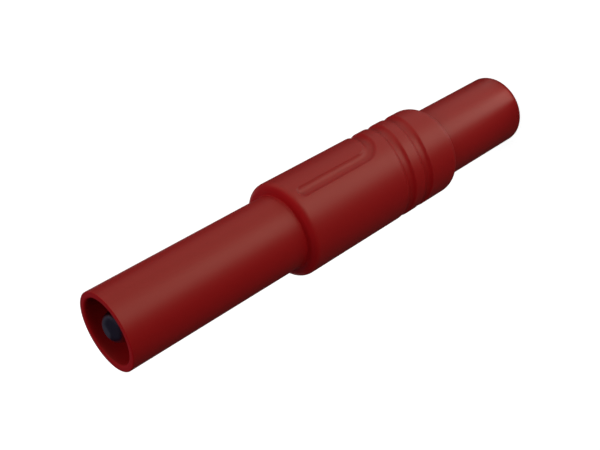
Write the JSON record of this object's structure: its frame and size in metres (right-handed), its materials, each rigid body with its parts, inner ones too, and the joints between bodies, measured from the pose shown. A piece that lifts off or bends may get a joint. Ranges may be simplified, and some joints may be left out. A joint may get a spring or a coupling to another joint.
{
  "type": "banana plug",
  "caption": "Straight test-lead plug with a rigid sheath round its spring contact, a thicker grip with a straight and helical groove, and a cable collar.",
  "frame": {"origin": "centre of the cable end face, on which the plug stands", "axes": "+Z along the plug from the cable end to the mouth; -Y is the side with the straight run of the grip groove"},
  "size_m": [0.01, 0.01, 0.0547],
  "materials": {
    "insulator": "matte moulded, red",
    "pin_metal": "turned and nickel plated",
    "spring_metal": "nickel plated spring sheet"
  },
  "bodies": {
    "plug": {"insulating_body": "insulator", "contact_pin": "pin_metal"},
    "cage": {"spring_cage": "spring_metal"}
  },
  "joints": [
    {"name": "cage_turn", "type": "hinge", "parent": "plug", "child": "cage", "pos_m": [0, 0, 0.04685], "axis": [0, 0, 1], "continuous": true}
  ]
}
